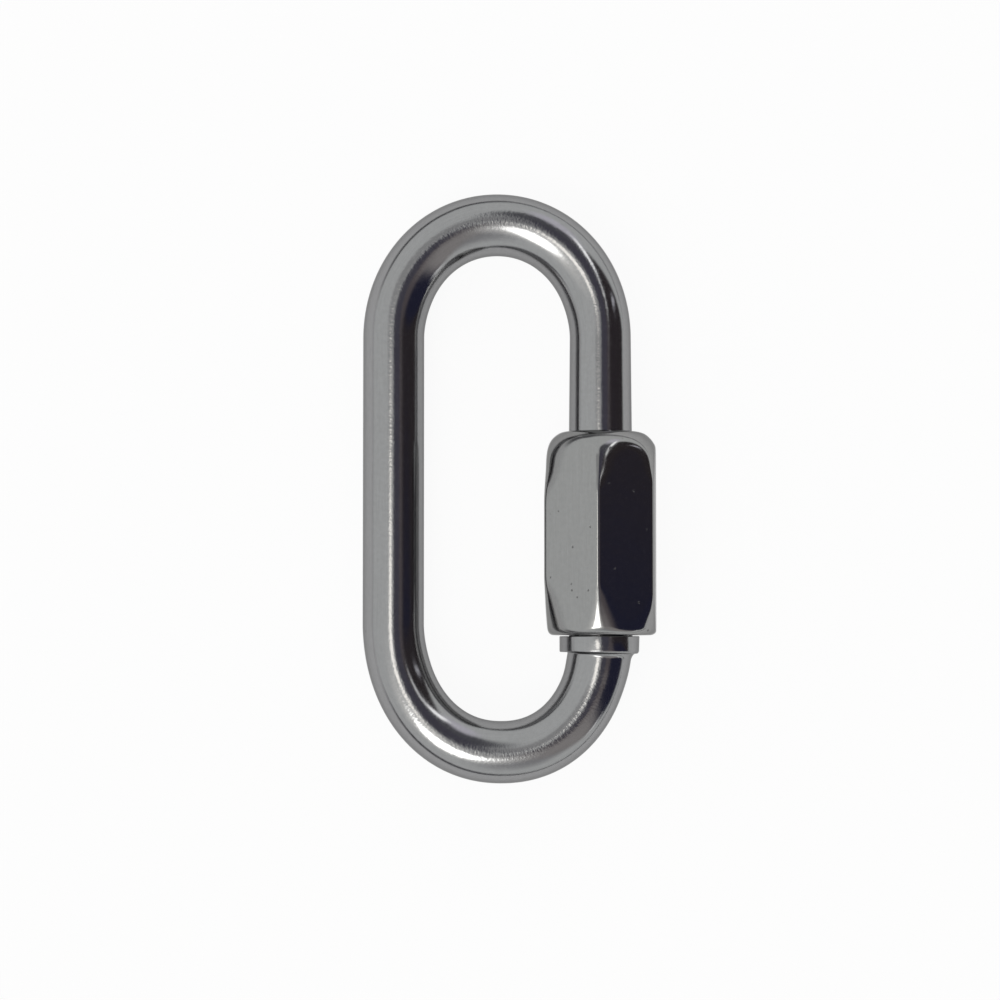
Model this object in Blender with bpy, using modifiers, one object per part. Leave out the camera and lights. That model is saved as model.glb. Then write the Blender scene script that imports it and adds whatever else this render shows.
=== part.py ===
"""Oval chain quick link, closed and lying at rest.

A round bar is bent into an oval with a gate in one arm, and a hexagonal sleeve nut is screwed across the gate.
X runs across the link, Y along it and Z up. The link lies on its back arm and on one long edge of the nut.
Lengths are in metres and angles in degrees.
"""

import math

import bmesh
import bpy

# The bent bar, along its centreline
bar_diameter = 0.00596
gate_arm_diameter = 0.00614
arm_spacing = 0.0200
straight_length = 0.0278
top_bend_rise = 0.01108
bottom_bend_drop = 0.01216
top_squareness = 2.07
bottom_squareness = 2.14
bottom_lean = 0.0003

# The stop collar, on the gate arm just below the nut
collar_diameter = 0.00776
collar_width = 0.00160
collar_drop = 0.00098
collar_edge = 0.00025
collar_fillet = 0.00045
collar_offset = 0.00012
swell_length = 0.0030

# The two threaded ends, which face each other across the gate
stub_length = 0.0035
gate_gap = 0.0075
upper_thread_length = 0.0080
tip_chamfer = 0.00045

# The sleeve nut
nut_length = 0.0196
nut_across_flats = 0.0106
nut_turn = 4.6
nut_edge_radius = 0.0006
bore_clearance = 0.0003
mouth_chamfer = 0.00025
seat_clearance = 0.0001

# The sleeve nut's two rounded ends: radius of the face, how far the shoulder widens and falls, its fullness
nut_top_end = (0.00345, 0.00245, 0.0046, 2.2)
nut_bottom_end = (0.00450, 0.00145, 0.0050, 2.4)
nut_end_taper = 3

# Fineness of the facets
bend_points = 26
bar_bevel_resolution = 10
turned_steps = 60
round_points = 6
shoulder_points = 14
edge_segments = 3

# Heights along the link, from its middle
overall_length = straight_length + top_bend_rise + bottom_bend_drop + bar_diameter
top_straight_end = overall_length / 2 - bar_diameter / 2 - top_bend_rise
bottom_straight_end = top_straight_end - straight_length
collar_top = bottom_straight_end - collar_drop
stub_tip = collar_top + stub_length
upper_tip = stub_tip + gate_gap
thread_end = upper_tip + upper_thread_length
nut_bottom = collar_top + seat_clearance

# The nut's section: its sharp corner, and the centre of the arc that rounds it
nut_corner = nut_across_flats / 2 / math.cos(math.radians(30))
nut_arc_centre = nut_corner - nut_edge_radius / math.cos(math.radians(30))
bore_radius = gate_arm_diameter / 2 + bore_clearance
blank_radius = nut_arc_centre + nut_edge_radius + 0.00003


def nut_reach(direction):
    """Distance from the nut's axis to its furthest point in a direction, in degrees from the link's front."""
    corners = [-nut_turn + 60 * i for i in range(6)]
    best = max(math.cos(math.radians(direction - corner)) for corner in corners)
    return nut_arc_centre * best + nut_edge_radius


def rest_tilt():
    """Angle about Y, in radians, at which the back arm and the nut's back edge both touch the ground."""
    turn = math.radians(nut_turn)
    across = arm_spacing + nut_arc_centre * math.sin(turn)
    down = nut_arc_centre * math.cos(turn)
    drop = (nut_edge_radius - bar_diameter / 2) / math.hypot(across, down)
    return math.atan2(down, across) + math.asin(drop)


def bend(rise, squareness, side):
    """Points of one bend from the gate arm to the back arm; side is 1 at the top and -1 at the bottom."""
    points = []
    for i in range(bend_points + 1):
        angle = math.pi * i / bend_points
        across = abs(math.cos(angle)) ** (2 / squareness)
        along = abs(math.sin(angle)) ** (2 / squareness)
        x = math.copysign(across, math.cos(angle)) * arm_spacing / 2
        points.append((x, side * along * rise))
    return points


def bar_path():
    """The bar's centreline as (x, y, radius), from the stub's tip round to the upper tip."""
    arm = arm_spacing / 2
    bar = bar_diameter / 2
    thick = gate_arm_diameter / 2
    tip = thick - tip_chamfer
    path = [
        (arm, stub_tip, tip),
        (arm, stub_tip - tip_chamfer, thick),
        (arm, collar_top, thick),
    ]
    swell_end = collar_top - collar_width - swell_length
    for x, drop in bend(bottom_bend_drop, bottom_squareness, -1):
        y = bottom_straight_end + drop
        near = max(0.0, min(1.0, (y - swell_end) / swell_length)) if x > 0 else 0.0
        if y < collar_top - collar_width / 4 or x < 0:
            lean = bottom_lean * abs(drop) / bottom_bend_drop
            path.append((x + lean, y, bar + (thick - bar) * near))
    for x, rise in reversed(bend(top_bend_rise, top_squareness, 1)):
        path.append((x, top_straight_end + rise, bar))
    path += [
        (arm, thread_end, thick),
        (arm, upper_tip + tip_chamfer, thick),
        (arm, upper_tip, tip),
    ]
    return path


def end_profile(face_radius, widening, fall, fullness):
    """Outer profile of a nut end as (radius, depth): a face, a long rounded shoulder and a slight taper."""
    points = [(0.0, 0.0), (bore_radius, 0.0)]
    for i in range(shoulder_points + 1):
        angle = math.radians(90 * i / shoulder_points)
        out = math.sin(angle) ** (2 / fullness)
        down = 1 - abs(math.cos(angle)) ** (2 / fullness)
        points.append((face_radius + widening * out, fall * down))
    radius, depth = points[-1]
    run = (blank_radius - radius) / math.tan(math.radians(nut_end_taper))
    points.append((blank_radius, depth + run))
    return points


def blank_profile():
    """Profile of the turned blank that the hexagon is cut to, from top to bottom, heights from the nut's foot."""
    upper = [(radius, nut_length - depth) for radius, depth in end_profile(*nut_top_end)]
    return upper + list(reversed(end_profile(*nut_bottom_end)))


def bore_profile():
    """Profile of the nut's bore with its two chamfered mouths, from above the nut to below it."""
    mouth = bore_radius + mouth_chamfer
    past = tip_chamfer
    return [
        (0.0, nut_length + past),
        (mouth + past, nut_length + past),
        (bore_radius, nut_length - mouth_chamfer),
        (bore_radius, mouth_chamfer),
        (mouth + past, -past),
        (0.0, -past),
    ]


def collar_profile():
    """Profile of the collar, heights from its seat face: square top, bevelled foot and a fillet onto the bar."""
    outer = collar_diameter / 2
    bar = gate_arm_diameter / 2
    root = bar + collar_fillet
    points = [
        (0.0, 0.0),
        (outer - collar_edge / 3, 0.0),
        (outer, -collar_edge / 3),
        (outer, -collar_width + collar_edge),
        (root, -collar_width),
    ]
    for i in range(1, round_points + 1):
        turn = math.radians(90 * i / round_points)
        radius = bar + collar_fillet * (1 - math.sin(turn))
        points.append((radius, -collar_width - collar_fillet * (1 - math.cos(turn))))
    points.append((0.0, -collar_width - collar_fillet))
    return points


def new_collection(name):
    collection = bpy.data.collections.new(name)
    bpy.context.scene.collection.children.link(collection)
    return collection


def steel(name, colour, roughness):
    """A polished stainless steel."""
    material = bpy.data.materials.new(name)
    material.use_nodes = True
    shader = material.node_tree.nodes["Principled BSDF"]
    shader.inputs["Base Color"].default_value = (*colour, 1.0)
    shader.inputs["Metallic"].default_value = 1.0
    shader.inputs["Roughness"].default_value = roughness
    return material


def turned(name, profile, collection):
    """A solid turned about the link's Y axis from a profile of (radius, height) points."""
    mesh = bpy.data.meshes.new(name)
    points = [(radius, 0.0, height) for radius, height in profile]
    mesh.from_pydata(points, [(i, i + 1) for i in range(len(points) - 1)], [])
    piece = bpy.data.objects.new(name, mesh)
    collection.objects.link(piece)
    screw = piece.modifiers.new("turn", "SCREW")
    screw.axis = "Z"
    screw.steps = turned_steps
    screw.render_steps = turned_steps
    screw.use_merge_vertices = True
    screw.merge_threshold = 0.00001
    piece.rotation_euler = (math.radians(-90), 0.0, 0.0)
    return piece


def hide_cutter(piece):
    piece.hide_render = True
    piece.display_type = "WIRE"


def cut(piece, cutter, operation):
    boolean = piece.modifiers.new(cutter.name, "BOOLEAN")
    boolean.operation = operation
    boolean.solver = "EXACT"
    boolean.object = cutter


def smooth(mesh):
    mesh.shade_smooth()
    mesh.set_sharp_from_angle(angle=math.radians(30))


def make_link_body(parts, cutters, frame):
    """The bent bar with its two threaded ends and its collar, all one piece."""
    path = bar_path()
    curve = bpy.data.curves.new("bar_path", "CURVE")
    curve.dimensions = "3D"
    curve.bevel_depth = 1.0
    curve.bevel_resolution = bar_bevel_resolution
    curve.use_fill_caps = True
    spline = curve.splines.new("POLY")
    spline.points.add(len(path) - 1)
    for point, (x, y, radius) in zip(spline.points, path):
        point.co = (x, y, 0.0, 1.0)
        point.radius = radius
    guide = bpy.data.objects.new("bar_path", curve)
    parts.objects.link(guide)
    bpy.context.view_layer.update()
    evaluated = guide.evaluated_get(bpy.context.evaluated_depsgraph_get())
    mesh = bpy.data.meshes.new_from_object(evaluated)
    mesh.name = "link_body"
    bpy.data.objects.remove(guide)
    sheet = bmesh.new()
    sheet.from_mesh(mesh)
    bmesh.ops.remove_doubles(sheet, verts=sheet.verts, dist=0.00001)
    bmesh.ops.recalc_face_normals(sheet, faces=sheet.faces)
    sheet.to_mesh(mesh)
    sheet.free()
    smooth(mesh)
    body = bpy.data.objects.new("link_body", mesh)
    parts.objects.link(body)
    body.parent = frame
    collar = turned("collar_shape", collar_profile(), cutters)
    collar.parent = frame
    collar.location = (arm_spacing / 2 - collar_offset, collar_top, 0.0)
    hide_cutter(collar)
    cut(body, collar, "UNION")
    mesh.materials.append(steel("link_steel", (0.32, 0.32, 0.325), 0.12))
    return body


def make_sleeve_nut(parts, cutters, frame):
    """The long hexagonal nut: a prism with rounded edges, turned at both ends and bored through."""
    mesh = bpy.data.meshes.new("sleeve_nut")
    prism = bmesh.new()
    bmesh.ops.create_cone(
        prism, cap_ends=True, segments=6, radius1=nut_corner, radius2=nut_corner, depth=nut_length * 1.2
    )
    long_edges = [e for e in prism.edges if abs(e.verts[0].co.z - e.verts[1].co.z) > nut_length / 2]
    edge_offset = nut_edge_radius * math.tan(math.radians(30))
    bmesh.ops.bevel(
        prism, geom=long_edges, offset=edge_offset, segments=edge_segments, profile=0.5, affect="EDGES"
    )
    bmesh.ops.translate(prism, verts=prism.verts, vec=(0, 0, nut_length / 2))
    prism.to_mesh(mesh)
    prism.free()
    smooth(mesh)
    nut = bpy.data.objects.new("sleeve_nut", mesh)
    parts.objects.link(nut)
    blank = turned("nut_blank", blank_profile(), cutters)
    bore = turned("nut_bore", bore_profile(), cutters)
    for piece in (nut, blank, bore):
        piece.parent = frame
        piece.location = (arm_spacing / 2, nut_bottom, 0.0)
        piece.rotation_euler = (math.radians(-90), math.radians(-nut_turn), 0.0)
    hide_cutter(blank)
    hide_cutter(bore)
    cut(nut, blank, "INTERSECT")
    cut(nut, bore, "DIFFERENCE")
    mesh.materials.append(steel("nut_steel", (0.31, 0.31, 0.31), 0.10))
    return nut


def make_frame(parts):
    """The tilted frame of the link's own plane, placed so that the link's box stands centred on the origin."""
    tilt = rest_tilt()
    nut_side = nut_reach(90 + math.degrees(tilt))
    frame = bpy.data.objects.new("link_plane", None)
    frame.empty_display_size = arm_spacing
    parts.objects.link(frame)
    height = bar_diameter / 2 + arm_spacing / 2 * math.sin(tilt)
    frame.location = ((bar_diameter / 2 - nut_side) / 2, 0.0, height)
    frame.rotation_euler = (0.0, -tilt, 0.0)
    return frame


def main():
    for old in list(bpy.data.objects):
        bpy.data.objects.remove(old)
    parts = new_collection("chain_quick_link")
    cutters = new_collection("cutters")
    frame = make_frame(parts)
    make_link_body(parts, cutters, frame)
    make_sleeve_nut(parts, cutters, frame)


main()
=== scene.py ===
import math

import bpy
import numpy as np
from mathutils import Matrix, Vector


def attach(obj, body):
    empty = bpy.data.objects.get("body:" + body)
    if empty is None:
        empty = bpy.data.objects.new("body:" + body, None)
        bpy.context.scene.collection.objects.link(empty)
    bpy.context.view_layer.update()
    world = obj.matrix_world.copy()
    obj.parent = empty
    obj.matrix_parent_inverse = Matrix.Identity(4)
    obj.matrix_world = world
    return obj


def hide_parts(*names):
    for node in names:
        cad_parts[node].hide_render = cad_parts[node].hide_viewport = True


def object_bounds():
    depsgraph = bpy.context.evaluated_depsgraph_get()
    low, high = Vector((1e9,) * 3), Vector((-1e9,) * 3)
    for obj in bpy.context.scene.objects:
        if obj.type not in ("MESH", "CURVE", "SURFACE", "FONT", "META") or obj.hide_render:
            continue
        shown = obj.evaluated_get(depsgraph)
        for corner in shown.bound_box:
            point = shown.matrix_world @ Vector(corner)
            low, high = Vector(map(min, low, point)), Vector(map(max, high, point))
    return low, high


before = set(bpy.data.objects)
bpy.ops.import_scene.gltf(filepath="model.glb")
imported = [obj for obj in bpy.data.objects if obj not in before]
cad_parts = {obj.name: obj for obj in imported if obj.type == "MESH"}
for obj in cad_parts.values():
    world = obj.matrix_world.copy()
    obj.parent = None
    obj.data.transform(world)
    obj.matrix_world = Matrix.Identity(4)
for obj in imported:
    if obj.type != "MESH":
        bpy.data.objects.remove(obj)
cad_low, cad_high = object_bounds()

# Lengths are in metres. The link's own plane has x across, y along and z towards the camera.

# The bent bar
bar_radius = 0.00298
gate_arm_radius = 0.00307
arm_spacing = 0.0200
overall_length = cad_high.y - cad_low.y
top_bend_rise = 0.01108
bottom_bend_drop = 0.01216
# Exponents of the bends' curves, where 2 is an ellipse, and how far the bottom bend leans to the gate
top_squareness = 2.04
bottom_squareness = 2.14
bottom_lean = 0.0004
# On a bend the ridge moves outwards and the inner side gets thicker, and both grow over the run
ridge_shift = 0.00012
inner_swell = 0.00008
bent_run = 0.0045
gate_swell_length = 0.0030

# The collar
collar_radius = 0.00388
collar_foot_radius = 0.00384
collar_width = 0.00160
collar_drop = 0.00098
collar_round = 0.00007
collar_bevel = 0.00022
collar_fillet = 0.00045
collar_offset = 0.00012

# The threads
pitch = 0.0010
thread_depth = 0.00053
thread_gap = 0.00008
stub_length = 0.0035
gate_gap = 0.0075
upper_thread_length = 0.0080
tip_chamfer = 0.00045
# Half widths of the thread's flat crests and roots, in pitches
arm_thread_flats = (0.0625, 0.125)
nut_thread_flats = (0.105, 0.0825)

# The sleeve nut
nut_length = 0.0196
nut_across_flats = 0.0106
nut_turn = math.radians(4.6)
nut_edge_radius = 0.0006
nut_flat_radius = 0.060
# Each end: radius of its face, widening and height of its round shoulder, exponent of the shoulder, taper
nut_top_end = (0.00345, 0.00188, 0.0028, 2.0, math.radians(6))
nut_bottom_end = (0.00460, 0.00072, 0.0008, 2.2, math.radians(11))
# The ends widen by the clearance between these depths, where they pass out of the hexagon
nut_end_clearance = 0.0007
nut_end_depth = (0.0035, 0.0080)
# How far each end stands off centre, and towards which side, counted from the front to the gate side
nut_top_shift = (0.00020, math.radians(25))
nut_bottom_shift = (0.00010, math.radians(95))
nut_shift_run = 0.0008
# Softness of the edges between the ends and the hexagon: in front, and how it changes towards the gate side
nut_blend = (0.00045, -0.00032)
nut_mouth_radius = 0.00345
seat_clearance = 0.0001

# Fineness of the meshes, and how far they stay inside the true surfaces, to fit in the CAD's facets
inset = 0.000025
around = 96
bend_rings = 150
rings_per_pitch = 16

# Heights along the link, from its middle
top_straight_end = overall_length / 2 - bar_radius - top_bend_rise
bottom_straight_end = bar_radius + bottom_bend_drop - overall_length / 2
collar_top = bottom_straight_end - collar_drop
stub_tip = collar_top + stub_length
upper_tip = stub_tip + gate_gap
thread_end = upper_tip + upper_thread_length
nut_foot = collar_top + seat_clearance

# The nut's section: its sharp corner, the centre of the arc that rounds it, and the centre of a crowned flat
nut_corner = nut_across_flats / 2 / math.cos(math.radians(30))
nut_arc_centre = nut_corner - nut_edge_radius / math.cos(math.radians(30))
nut_flat_centre = nut_arc_centre * math.cos(math.radians(30)) - math.sqrt(
    (nut_flat_radius - nut_edge_radius) ** 2 - (nut_arc_centre / 2) ** 2
)


def rest_tilt():
    """Angle about Y at which the back arm and the nut's back edge both touch the ground."""
    across = arm_spacing + nut_arc_centre * math.sin(nut_turn)
    down = nut_arc_centre * math.cos(nut_turn)
    drop = (nut_edge_radius - bar_radius) / math.hypot(across, down)
    return math.atan2(down, across) + math.asin(drop)


tilt = rest_tilt()
link_x = Vector((math.cos(tilt), 0.0, math.sin(tilt)))
link_y = Vector((0.0, 1.0, 0.0))
link_z = Vector((-math.sin(tilt), 0.0, math.cos(tilt)))
nut_side = nut_arc_centre * math.cos(math.radians(30) - nut_turn - tilt) + nut_edge_radius
back_arm_x = bar_radius - (bar_radius + arm_spacing * math.cos(tilt) + nut_side) / 2
link_middle = Vector((back_arm_x, 0.0, bar_radius)) + link_x * (arm_spacing / 2)


def in_world(points):
    """Points of the link's own plane, an array of (..., 3), in the shared frame."""
    basis = np.array([link_x, link_y, link_z])
    return points @ basis + np.array(link_middle)


# Meshes


def skin(name, rings, straight, strain, closed):
    """A closed surface over rings of points, an array (ring, point, 3).

    straight is the unbent place of each point. strain is how much coarser the surface is there, from 0 to 1.
    """
    count, size, _ = rings.shape
    vertices = rings.reshape(-1, 3)
    places = straight.reshape(-1, 3)
    strains = strain.reshape(-1)
    ring = np.arange(count if closed else count - 1)
    here = ring[:, None] * size + np.arange(size)[None, :]
    there = ((ring + 1) % count)[:, None] * size + np.arange(size)[None, :]
    quads = np.stack([here, np.roll(here, -1, 1), np.roll(there, -1, 1), there], axis=2).reshape(-1, 4)
    faces = quads.tolist()
    if not closed:
        for index, order in ((0, -1), (count - 1, 1)):
            centre = len(vertices)
            vertices = np.vstack([vertices, rings[index].mean(axis=0)])
            places = np.vstack([places, straight[index].mean(axis=0)])
            strains = np.append(strains, strain[index].mean())
            rim = [index * size + i for i in range(size)]
            for i in range(size):
                pair = (rim[i], rim[(i + 1) % size])
                faces.append((centre, *pair[::order]))
    mesh = bpy.data.meshes.new(name)
    mesh.from_pydata(in_world(vertices).tolist(), [], faces)
    mesh.update()
    attribute = mesh.attributes.new("unbent", "FLOAT_VECTOR", "POINT")
    attribute.data.foreach_set("vector", places.astype(np.float32).ravel())
    attribute = mesh.attributes.new("strain", "FLOAT", "POINT")
    attribute.data.foreach_set("value", strains.astype(np.float32))
    mesh.shade_smooth()
    mesh.set_sharp_from_angle(angle=math.radians(40))
    piece = bpy.data.objects.new(name, mesh)
    bpy.context.scene.collection.objects.link(piece)
    return piece


def thread_form(phase, crest, root):
    """Height from 0 to 1 of a V thread; crest and root are the half widths of its flats in pitches."""
    away = np.abs((phase + 0.5) % 1.0 - 0.5)
    flank = 0.5 - crest - root
    return np.clip((0.5 - root - away) / flank, 0.0, 1.0)


def smooth_step(value, low, high):
    t = np.clip((value - low) / (high - low), 0.0, 1.0)
    return t * t * (3 - 2 * t)


def soft_minimum(a, b, blend):
    h = np.clip(0.5 + 0.5 * (b - a) / blend, 0.0, 1.0)
    return b + (a - b) * h - blend * h * (1 - h)


def arc(centre_radius, centre_height, radius, start, end, steps):
    """Points (radius, height) on an arc; angles run from the outward radius."""
    angles = np.linspace(start, end, steps + 1)
    return [(centre_radius + radius * math.cos(a), centre_height + radius * math.sin(a)) for a in angles]


# The link body


def bend(rise, squareness):
    """Centre points of one bend, from the gate arm to the back arm, with heights above its straight end."""
    angles = np.linspace(0.0, math.pi, bend_rings + 1)
    across = np.abs(np.cos(angles)) ** (2 / squareness) * np.sign(np.cos(angles))
    along = np.abs(np.sin(angles)) ** (2 / squareness)
    return across * arm_spacing / 2, along * rise


def threaded_radius(heights, turns, tip, direction):
    """Radius of a threaded end; direction is 1 where the end points up and -1 where it points down."""
    from_tip = (tip - heights) * direction
    length = stub_length if direction > 0 else upper_thread_length
    fade = smooth_step(length - from_tip, 0.2 * pitch, 1.0 * pitch)
    form = thread_form(heights / pitch - turns, *arm_thread_flats)
    screw = gate_arm_radius + thread_depth * form * fade
    cone = gate_arm_radius - tip_chamfer / 2 + from_tip
    return np.minimum(screw, cone)


def ring_plan():
    """Every ring of the bar, from the stub's tip to the upper tip, as (x, y, heading, radius or thread).

    A thread is the height of its tip, and 1 where the end points up or -1 where it points down.
    """
    arm = arm_spacing / 2
    down = math.radians(-90)
    step = pitch / rings_per_pitch
    plan = []
    for y in np.arange(stub_tip, collar_top + step / 2, -step):
        plan.append((arm, y, down, (stub_tip, 1)))
    root = gate_arm_radius + collar_fillet
    profile = arc(collar_radius - collar_round, -collar_round, collar_round, math.pi / 2, 0.0, 5)
    profile += arc(
        collar_foot_radius - collar_bevel, collar_bevel - collar_width, collar_bevel, 0.0, -math.pi / 2.6, 6
    )
    profile += [(root + 0.00006, -collar_width)]
    for a in np.linspace(0.0, math.pi / 2, 9):
        radius = gate_arm_radius + collar_fillet * (1 - math.sin(a))
        profile.append((radius, -collar_width - collar_fillet * (1 - math.cos(a))))
    x, drop = bend(bottom_bend_drop, bottom_squareness)
    x = x + bottom_lean * drop / bottom_bend_drop
    y = bottom_straight_end - drop
    heading = np.arctan2(np.gradient(y), np.gradient(x))
    foot = collar_top - collar_width - collar_fillet
    foot_x = float(np.interp(-foot, -y[: bend_rings // 2], x[: bend_rings // 2]))
    foot_heading = float(np.interp(-foot, -y[: bend_rings // 2], heading[: bend_rings // 2]))
    plan.append((arm, collar_top, down, gate_arm_radius))
    for radius, height in profile:
        share = float(smooth_step(-height, collar_width * 0.9, collar_width + collar_fillet))
        centre = (arm - collar_offset) * (1 - share) + foot_x * share
        plan.append((centre, collar_top + height, down + (foot_heading - down) * share, radius))
    for i in range(bend_rings + 1):
        if y[i] > foot - 0.0001 and x[i] > 0:
            continue
        swell = smooth_step(y[i], foot - gate_swell_length, foot) if x[i] > 0 else 0.0
        radius = bar_radius + (gate_arm_radius - bar_radius) * float(swell)
        plan.append((x[i], y[i], heading[i], radius))
    for share in np.linspace(0.0, 1.0, 41)[1:-1]:
        height = bottom_straight_end + (top_straight_end - bottom_straight_end) * share
        plan.append((-arm, height, -down, bar_radius))
    x, rise = bend(top_bend_rise, top_squareness)
    x = x[::-1]
    y = top_straight_end + rise[::-1]
    heading = np.arctan2(np.gradient(y), np.gradient(x))
    for i in range(bend_rings + 1):
        plan.append((x[i], y[i], heading[i], bar_radius))
    for share in np.linspace(0.0, 1.0, 31)[1:]:
        height = top_straight_end + (thread_end - top_straight_end) * share
        radius = bar_radius + (gate_arm_radius - bar_radius) * share
        plan.append((arm, height, down, radius))
    for y in np.arange(thread_end - step, upper_tip - step / 2, -step):
        plan.append((arm, y, down, (upper_tip, -1)))
    return plan


def make_link_body():
    plan = ring_plan()
    theta = np.linspace(0.0, 2 * math.pi, around, endpoint=False)
    turns = 0.25 - theta / (2 * math.pi)
    centres = np.array([(x, y) for x, y, _, _ in plan])
    lengths = np.concatenate([[0.0], np.cumsum(np.hypot(*np.diff(centres, axis=0).T))])
    rings = np.zeros((len(plan), around, 3))
    straight = np.zeros((len(plan), around, 3))
    strain = np.zeros((len(plan), around))
    for i, (x, y, heading, size) in enumerate(plan):
        if isinstance(size, tuple):
            tip, direction = size
            radius = threaded_radius(np.full(around, y), turns, tip, direction)
        else:
            radius = np.full(around, size - inset)
        outward = np.array([-math.sin(heading), math.cos(heading)])
        into_bend = max(y - top_straight_end, bottom_straight_end - y)
        bent = float(smooth_step(into_bend, 0.0, bent_run))
        reach = radius * np.cos(theta) + ridge_shift * bent * np.sin(theta) ** 2
        reach -= inner_swell * bent * np.clip(-np.cos(theta), 0.0, 1.0) ** 2
        near_ridge = smooth_step(np.cos(theta), -0.45, 0.0) - smooth_step(np.cos(theta), 0.15, 0.6)
        strain[i] = 0.10 + (0.55 + 0.35 * bent) * near_ridge
        rings[i, :, 0] = x + reach * outward[0]
        rings[i, :, 1] = y + reach * outward[1]
        rings[i, :, 2] = radius * np.sin(theta)
        straight[i, :, 0] = radius * np.cos(theta)
        straight[i, :, 1] = radius * np.sin(theta)
        straight[i, :, 2] = lengths[i]
    body = skin("polished_link_body", rings, straight, strain, closed=False)
    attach(body, "link")
    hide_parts("link_body")
    return body


# The sleeve nut


def nut_arc_end():
    """Angle round the nut from an edge's middle to the place where its arc meets the flat."""
    edge = np.array([nut_arc_centre, 0.0])
    flat = nut_flat_centre * np.array([math.cos(math.radians(30)), math.sin(math.radians(30))])
    meeting = edge + nut_edge_radius * (edge - flat) / np.linalg.norm(edge - flat)
    return abs(math.atan2(meeting[1], meeting[0]))


def nut_directions():
    """Angles of the nut's points from the front towards the gate side, closest together at its six edges."""
    tangent = nut_arc_end()
    rounded = [tangent * i / 6 for i in range(6)]
    flat = [tangent + (math.radians(30) - tangent) * (i / 9) ** 1.5 for i in range(10)]
    side = rounded + flat
    one_edge = [-a for a in side[:0:-1]] + side[:-1]
    return np.array([a + math.radians(60 * k) - nut_turn for k in range(6) for a in one_edge])[::-1]


def hexagon_radius(directions):
    """Distance from the axis to the hexagon with crowned flats and rounded edges in each direction."""
    from_edge = (directions + nut_turn + math.radians(30)) % math.radians(60) - math.radians(30)
    from_flat = math.radians(30) - np.abs(from_edge)
    flat = nut_flat_centre * np.cos(from_flat)
    flat += np.sqrt(nut_flat_radius**2 - (nut_flat_centre * np.sin(from_flat)) ** 2)
    reach = nut_edge_radius**2 - (nut_arc_centre * np.sin(from_edge)) ** 2
    rounded = nut_arc_centre * np.cos(from_edge) + np.sqrt(np.clip(reach, 0.0, None))
    return np.where(np.abs(from_edge) < nut_arc_end(), rounded, flat) - inset


def nut_end(face_radius, widening, fall, exponent, taper):
    """One end's outline from its mouth to the nut's middle, as (radius, depth)."""
    points = [(radius, 0.0) for radius in np.arange(nut_mouth_radius, face_radius - 1e-5, 0.0002)]
    for depth in nut_length / 2 * np.linspace(0.0, 1.0, 71) ** 2.2:
        left = max(1.0 - depth / fall, 0.0)
        radius = face_radius + widening * (1.0 - left**exponent) ** (1 / exponent) + depth * math.tan(taper)
        points.append((radius + nut_end_clearance * float(smooth_step(depth, *nut_end_depth)), depth))
    return points


def nut_outside():
    """The turned blank's outline from the top mouth to the bottom one, as (radius, height, depth)."""
    top = [(radius, nut_length - depth, depth) for radius, depth in nut_end(*nut_top_end)]
    bottom = [(radius, depth, depth) for radius, depth in nut_end(*nut_bottom_end)]
    return top + bottom[-2::-1]


def make_sleeve_nut():
    directions = nut_directions()
    hexagon = hexagon_radius(directions)
    rings = []
    blend = nut_blend[0] + nut_blend[1] * np.sin(directions)
    for radius, height, depth in nut_outside():
        share = float(smooth_step(radius, nut_mouth_radius, nut_mouth_radius + nut_shift_run))
        share *= 1.0 - float(smooth_step(depth, *nut_end_depth))
        shift, side = nut_top_shift if height > nut_length / 2 else nut_bottom_shift
        turned = radius + shift * share * np.cos(directions - side)
        rings.append((soft_minimum(turned, hexagon, blend), height))
    step = pitch / rings_per_pitch
    for height in np.arange(step, nut_length - step / 2, step):
        y = nut_foot + height
        form = thread_form(y / pitch - directions / (2 * math.pi), *nut_thread_flats)
        bore = gate_arm_radius + thread_gap + thread_depth * form
        mouth = nut_mouth_radius - min(height, nut_length - height)
        rings.append((np.maximum(bore, mouth), height))
    shape = np.zeros((len(rings), len(directions), 3))
    straight = np.zeros_like(shape)
    for i, (radius, height) in enumerate(rings):
        shape[i, :, 0] = arm_spacing / 2 + radius * np.sin(directions)
        shape[i, :, 1] = nut_foot + height
        shape[i, :, 2] = radius * np.cos(directions)
        straight[i, :, 0] = radius * np.sin(directions)
        straight[i, :, 1] = radius * np.cos(directions)
        straight[i, :, 2] = height
    nut = skin("polished_sleeve_nut", shape, straight, np.zeros(shape.shape[:2]), closed=True)
    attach(nut, "nut")
    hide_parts("sleeve_nut")
    return nut


# Materials


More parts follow.
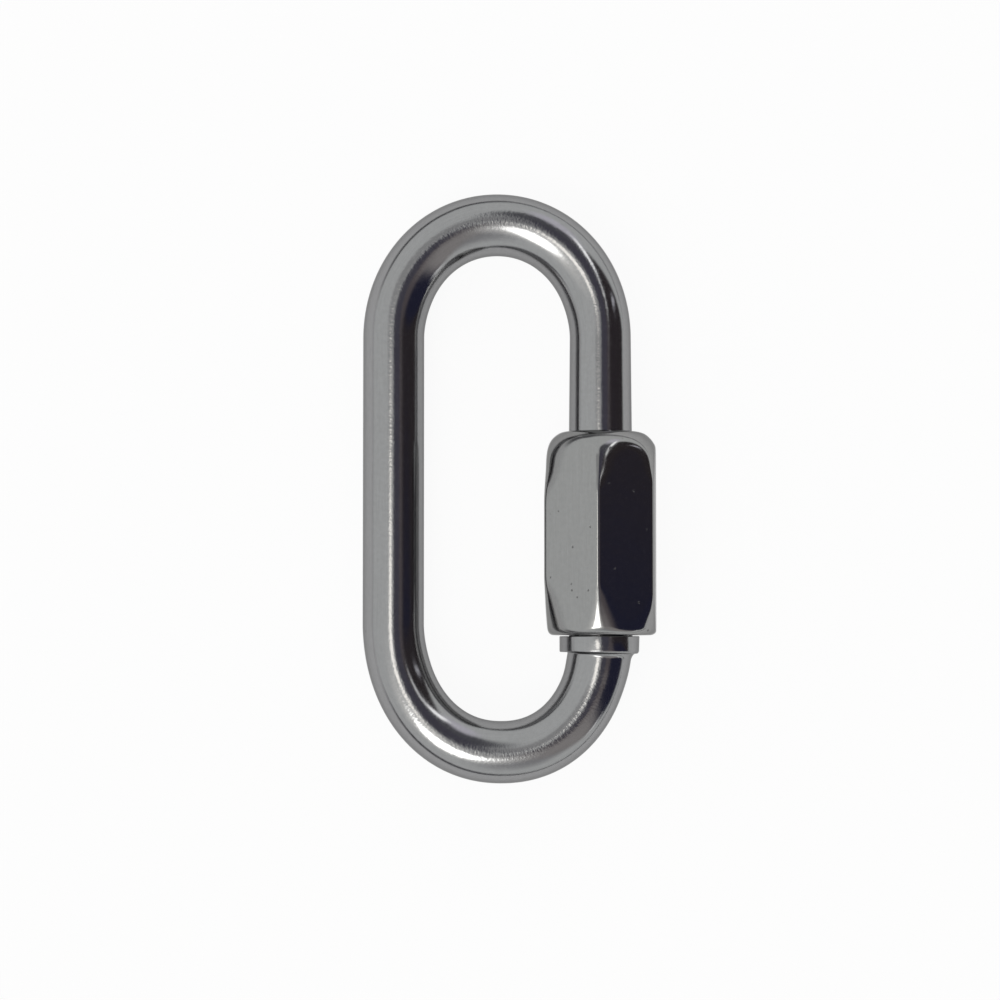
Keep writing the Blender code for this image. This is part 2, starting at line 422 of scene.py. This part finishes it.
class Nodes:
    """Short calls for the nodes of one material or world."""

    def __init__(self, owner):
        owner.use_nodes = True
        self.tree = owner.node_tree
        self.tree.nodes.clear()

    def add(self, kind, inputs=(), **settings):
        node = self.tree.nodes.new(kind)
        for name, value in settings.items():
            setattr(node, name, value)
        for key, value in dict(inputs).items():
            socket = node.inputs[key]
            if isinstance(value, bpy.types.NodeSocket):
                self.tree.links.new(value, socket)
            else:
                socket.default_value = value
        return node

    def math(self, operation, *values):
        return self.add("ShaderNodeMath", enumerate(values), operation=operation).outputs[0]

    def vector(self, operation, *values):
        node = self.add("ShaderNodeVectorMath", enumerate(values), operation=operation)
        return node.outputs["Value" if operation in ("DOT_PRODUCT", "LENGTH") else "Vector"]

    def remap(self, value, low, high, to_low=0.0, to_high=1.0, kind="SMOOTHSTEP"):
        inputs = {"Value": value, "From Min": low, "From Max": high, "To Min": to_low, "To Max": to_high}
        return self.add("ShaderNodeMapRange", inputs, interpolation_type=kind).outputs["Result"]

    def mix(self, share, a, b, blend_type="MIX"):
        """Colour between a and b."""
        node = self.add("ShaderNodeMix", {0: share, 6: a, 7: b}, data_type="RGBA", blend_type=blend_type)
        return node.outputs[2]

    def noise(self, place, scale, detail=3.0, roughness=0.5):
        inputs = {"Vector": place, "Scale": scale, "Detail": detail, "Roughness": roughness}
        return self.add("ShaderNodeTexNoise", inputs, normalize=True).outputs["Fac"]


def polished_steel(name, colour, roughness, line_depth, grain_depth, pit_scale, pit_threshold):
    """Polished stainless steel: fine lengthwise polishing lines, a fine grain, broad ripples and small pits,
    whose colour is darkened with painted shade.

    Along the ridge of the bar, most of all on its bends, short marks and a coarser grain come on top.
    """
    material = bpy.data.materials.new(name)
    n = Nodes(material)
    unbent = n.add("ShaderNodeAttribute", attribute_name="unbent").outputs["Vector"]
    millimetres = n.vector("MULTIPLY", unbent, (1000.0, 1000.0, 1000.0))
    lines = n.noise(n.vector("MULTIPLY", millimetres, (8.0, 8.0, 0.30)), 1.0, 3.0, 0.6)
    grain = n.noise(millimetres, 8.0, 4.0, 0.7)
    ripple = n.noise(millimetres, 0.7, 2.0, 0.4)
    mottle = n.noise(millimetres, 2.2, 3.0, 0.6)
    pit = n.add("ShaderNodeTexVoronoi", {"Vector": millimetres, "Scale": pit_scale, "Randomness": 1.0})
    pick = n.add("ShaderNodeSeparateColor", {0: pit.outputs["Color"]}).outputs[0]
    chosen = n.math("GREATER_THAN", pick, pit_threshold)
    pit_size = n.math("MULTIPLY", n.remap(grain, 0.3, 0.7, 0.07, 0.20, "LINEAR"), pit_scale)
    pit_floor = n.math("MULTIPLY", pit_size, 0.6)
    pitted = n.math("MULTIPLY", n.remap(pit.outputs["Distance"], pit_floor, pit_size, 1.0, 0.0), chosen)
    broad = n.remap(mottle, 0.3, 0.7, -0.035, 0.035, "LINEAR")
    shade = n.math("ADD", broad, n.remap(lines, 0.3, 0.7, 0.97, 1.03, "LINEAR"))
    # Painted shade: the pits' colour is darkened to 0.45, on top of the real sunk pits in the bump below
    shade = n.math("MULTIPLY", shade, n.remap(pitted, 0.0, 1.0, 1.0, 0.45, "LINEAR"))
    tint = n.mix(1.0, (*colour, 1.0), shade, "MULTIPLY")
    worn = n.math("ADD", n.remap(mottle, 0.25, 0.75, -0.02, 0.03, "LINEAR"), roughness)
    height = n.math("ADD", n.math("MULTIPLY", grain, grain_depth), n.math("MULTIPLY", lines, line_depth))
    height = n.math("ADD", height, n.math("MULTIPLY", ripple, 5.0))
    height = n.math("SUBTRACT", height, n.math("MULTIPLY", pitted, 9.0))
    strain = n.add("ShaderNodeAttribute", attribute_name="strain").outputs["Fac"]
    marks = n.noise(n.vector("MULTIPLY", millimetres, (2.0, 2.0, 5.0)), 1.0, 1.0, 0.5)
    sparkle = n.noise(millimetres, 4.5, 1.0, 0.5)
    rough = n.math("ADD", n.math("MULTIPLY", marks, 5.0), n.math("MULTIPLY", sparkle, 8.0))
    height = n.math("ADD", height, n.math("MULTIPLY", rough, strain))
    bump = n.add("ShaderNodeBump", {"Height": height, "Strength": 1.0, "Distance": 0.0000010})
    shader = n.add(
        "ShaderNodeBsdfPrincipled",
        {
            "Base Color": tint,
            "Metallic": 1.0,
            "Roughness": worn,
            "Specular Tint": (0.55, 0.55, 0.55, 1.0),
            "Normal": bump.outputs["Normal"],
        },
    )
    n.add("ShaderNodeOutputMaterial", {"Surface": shader.outputs[0]})
    return material


def floor_material():
    """Pale floor that shows white, with the object's shadow kept in a share of its own light.

    To the camera it is nearly all white. Metal and glass show it half white, and dark far to the left.
    """
    material = bpy.data.materials.new("floor")
    n = Nodes(material)
    path = n.add("ShaderNodeLightPath").outputs
    passed_on = n.math("MAXIMUM", path["Is Glossy Ray"], path["Is Transmission Ray"])
    seen = n.math("MULTIPLY", path["Is Camera Ray"], 0.93)
    share = n.math("MAXIMUM", seen, n.math("MULTIPLY", passed_on, 0.5))
    lit = n.add("ShaderNodeBsdfDiffuse", {"Color": (0.95, 0.95, 0.95, 1.0)}).outputs[0]
    white = n.add("ShaderNodeEmission", {"Color": (1.0, 1.0, 1.0, 1.0), "Strength": 1.0}).outputs[0]
    near = n.add("ShaderNodeMixShader", {0: share, 1: lit, 2: white}).outputs[0]
    place = n.add("ShaderNodeTexCoord").outputs["Object"]
    reach = n.vector("LENGTH", n.vector("SUBTRACT", place, (0.060, 0.0, 0.0)))
    off_side = n.math("DIVIDE", n.math("ABSOLUTE", n.vector("DOT_PRODUCT", place, (0.0, 1.0, 0.0))), reach)
    far_share = n.math("MULTIPLY", n.remap(reach, 0.105, 0.130), n.remap(off_side, 0.25, 0.60, 0.15, 0.9))
    far_share = n.math("MULTIPLY", far_share, passed_on)
    far = n.add("ShaderNodeEmission", {"Color": (0.08, 0.08, 0.09, 1.0), "Strength": 1.0}).outputs[0]
    mix = n.add("ShaderNodeMixShader", {0: far_share, 1: near, 2: far})
    n.add("ShaderNodeOutputMaterial", {"Surface": mix.outputs[0]})
    return material


def make_floor():
    size = 0.7
    mesh = bpy.data.meshes.new("floor")
    corners = [(-size, -size, 0.0), (size, -size, 0.0), (size, size, 0.0), (-size, size, 0.0)]
    mesh.from_pydata(corners, [], [(0, 1, 2, 3)])
    floor = bpy.data.objects.new("floor", mesh)
    floor.location.z = -0.00001
    bpy.context.scene.collection.objects.link(floor)
    mesh.materials.append(floor_material())


# Light

# Soft patches of the studio round the link, each over the ones before it: name, degrees to the right and
# up from the front, half width, half height, turn, softness of the edge, colour
studio_patches = [
    ("dim_corner", 22, -34, 34, 22, 40, 0.6, (0.50, 0.50, 0.51)),
    ("dim_top", -8, 12, 14, 9, 0, 0.35, (0.57, 0.57, 0.57)),
    ("dark_side", 48, -4, 43, 43, 0, 0.10, (0.055, 0.046, 0.050)),
    ("dark_cap", 18, 31, 20, 18, 0, 0.30, (0.15, 0.15, 0.17)),
    ("dark_low", 52, -22, 36, 25, 0, 0.12, (0.032, 0.033, 0.066)),
    ("brown_front", 19, -8, 19, 17, 20, 0.30, (0.18, 0.155, 0.165)),
    ("brown_corner", 26, -20, 13, 8, -25, 0.5, (0.36, 0.33, 0.33)),
    ("brown_low", 31, -34, 30, 13, -25, 0.5, (0.52, 0.49, 0.48)),
    ("navy_front", 13, 8, 11.5, 20, 0, 0.20, (0.12, 0.115, 0.150)),
    ("haze", 27, 52, 13, 12, -30, 0.5, (1.05, 1.02, 1.12)),
    ("streak_low", 31, 16, 2.6, 6.0, 0, 0.40, (1.5, 1.5, 1.5)),
    ("streak_high", 33.5, 33, 3.0, 11, -10, 0.5, (3.0, 3.0, 3.0)),
    ("side_glint", 62, 21, 7, 1.8, 28, 0.6, (1.3, 1.3, 1.4)),
    ("low_glint", 63, -45, 8, 2.2, 52, 0.6, (1.5, 1.5, 1.5)),
    ("window_glow", -18, -24, 20, 17, 0, 0.6, (1.35, 1.33, 1.28)),
    ("window_side", -9.5, -1.5, 5.5, 5.2, 20, 0.25, (3.0, 2.9, 2.7)),
    ("window", -15.5, -25.5, 14.5, 10.5, 38, 0.22, (5.2, 5.2, 5.0)),
]
studio_grey = (0.90, 0.915, 0.905)


def make_world():
    """A pale studio with a dark side, a window and a dark far edge, as directions in the link's own plane."""
    world = bpy.data.worlds.new("studio")
    bpy.context.scene.world = world
    n = Nodes(world)
    direction = n.add("ShaderNodeTexCoord").outputs["Generated"]
    right = n.vector("DOT_PRODUCT", direction, tuple(link_x))
    top = n.vector("DOT_PRODUCT", direction, tuple(link_y))
    front = n.vector("DOT_PRODUCT", direction, tuple(link_z))
    off_front = n.math("SUBTRACT", 1.0, n.math("MULTIPLY", front, front))
    degrees = n.math("DEGREES", n.math("ARCCOSINE", front))
    spread = n.math("DIVIDE", degrees, n.math("SQRT", n.math("MAXIMUM", off_front, 1e-6)))
    place = n.add(
        "ShaderNodeCombineXYZ", {0: n.math("MULTIPLY", right, spread), 1: n.math("MULTIPLY", top, spread)}
    ).outputs[0]
    colour = n.add("ShaderNodeRGB").outputs[0]
    colour.default_value = (*studio_grey, 1.0)
    for _, across, up, half_width, half_height, turn, softness, patch in studio_patches:
        local = n.add(
            "ShaderNodeMapping",
            {
                "Vector": place,
                "Location": (across, up, 0.0),
                "Rotation": (0.0, 0.0, math.radians(turn)),
                "Scale": (half_width, half_height, 1.0),
            },
            vector_type="TEXTURE",
        ).outputs[0]
        inside = n.remap(n.vector("LENGTH", local), 1.0 - softness, 1.0 + softness, 1.0, 0.0)
        colour = n.mix(inside, colour, (*patch, 1.0))
    height = n.vector("DOT_PRODUCT", direction, (0.0, 0.0, 1.0))
    off_side = n.remap(n.math("ABSOLUTE", top), 0.25, 0.60, 0.15, 1.0)
    far_edge = n.math("MULTIPLY", n.remap(height, 0.05, 0.09, 1.0, 0.0), n.remap(right, -0.3, 0.5, 0.9, 0.1))
    far_edge = n.math("MULTIPLY", far_edge, off_side)
    colour = n.mix(far_edge, colour, (0.08, 0.08, 0.09, 1.0))
    path = n.add("ShaderNodeLightPath").outputs
    shown = n.mix(path["Is Camera Ray"], colour, (1.0, 1.0, 1.0, 1.0))
    background = n.add("ShaderNodeBackground", {"Color": shown, "Strength": 1.0})
    n.add("ShaderNodeOutputWorld", {"Surface": background.outputs[0]})


# Camera

camera_distance = 0.30
camera_drop = math.radians(2.8)
pixel_size = 0.057 / 590.1
frame_pixels = 1000
link_centre_pixel = (497.0, 487.7)


def make_camera():
    """Almost square to the link's plane, placed so that the link fills the picture as in the photograph."""
    data = bpy.data.cameras.new("camera")
    camera = bpy.data.objects.new("camera", data)
    bpy.context.scene.collection.objects.link(camera)
    across = (frame_pixels / 2 - link_centre_pixel[0]) * pixel_size
    along = (link_centre_pixel[1] - frame_pixels / 2) * pixel_size
    aim = link_middle + link_x * across + link_y * along
    back = link_z * math.cos(camera_drop) - link_y * math.sin(camera_drop)
    upright = link_y * math.cos(camera_drop) + link_z * math.sin(camera_drop)
    camera.location = aim + back * camera_distance
    camera.rotation_euler = Matrix((link_x, upright, back)).transposed().to_euler()
    data.sensor_width = 36.0
    data.lens = data.sensor_width * camera_distance / (pixel_size * frame_pixels)
    bpy.context.scene.camera = camera


def main():
    make_camera()
    # Painted shade: the steels' colour, about half that of bare polished stainless, stands in for dimmer
    # surroundings than the pale studio gives
    link_steel = polished_steel("link_steel", (0.32, 0.32, 0.325), 0.13, 0.35, 1.0, 0.35, 0.85)
    nut_steel = polished_steel("nut_steel", (0.31, 0.31, 0.31), 0.12, 0.10, 0.5, 0.85, 0.40)
    make_link_body().data.materials.append(link_steel)
    make_sleeve_nut().data.materials.append(nut_steel)
    make_floor()
    make_world()
    bpy.context.scene.view_settings.view_transform = "Standard"


main()
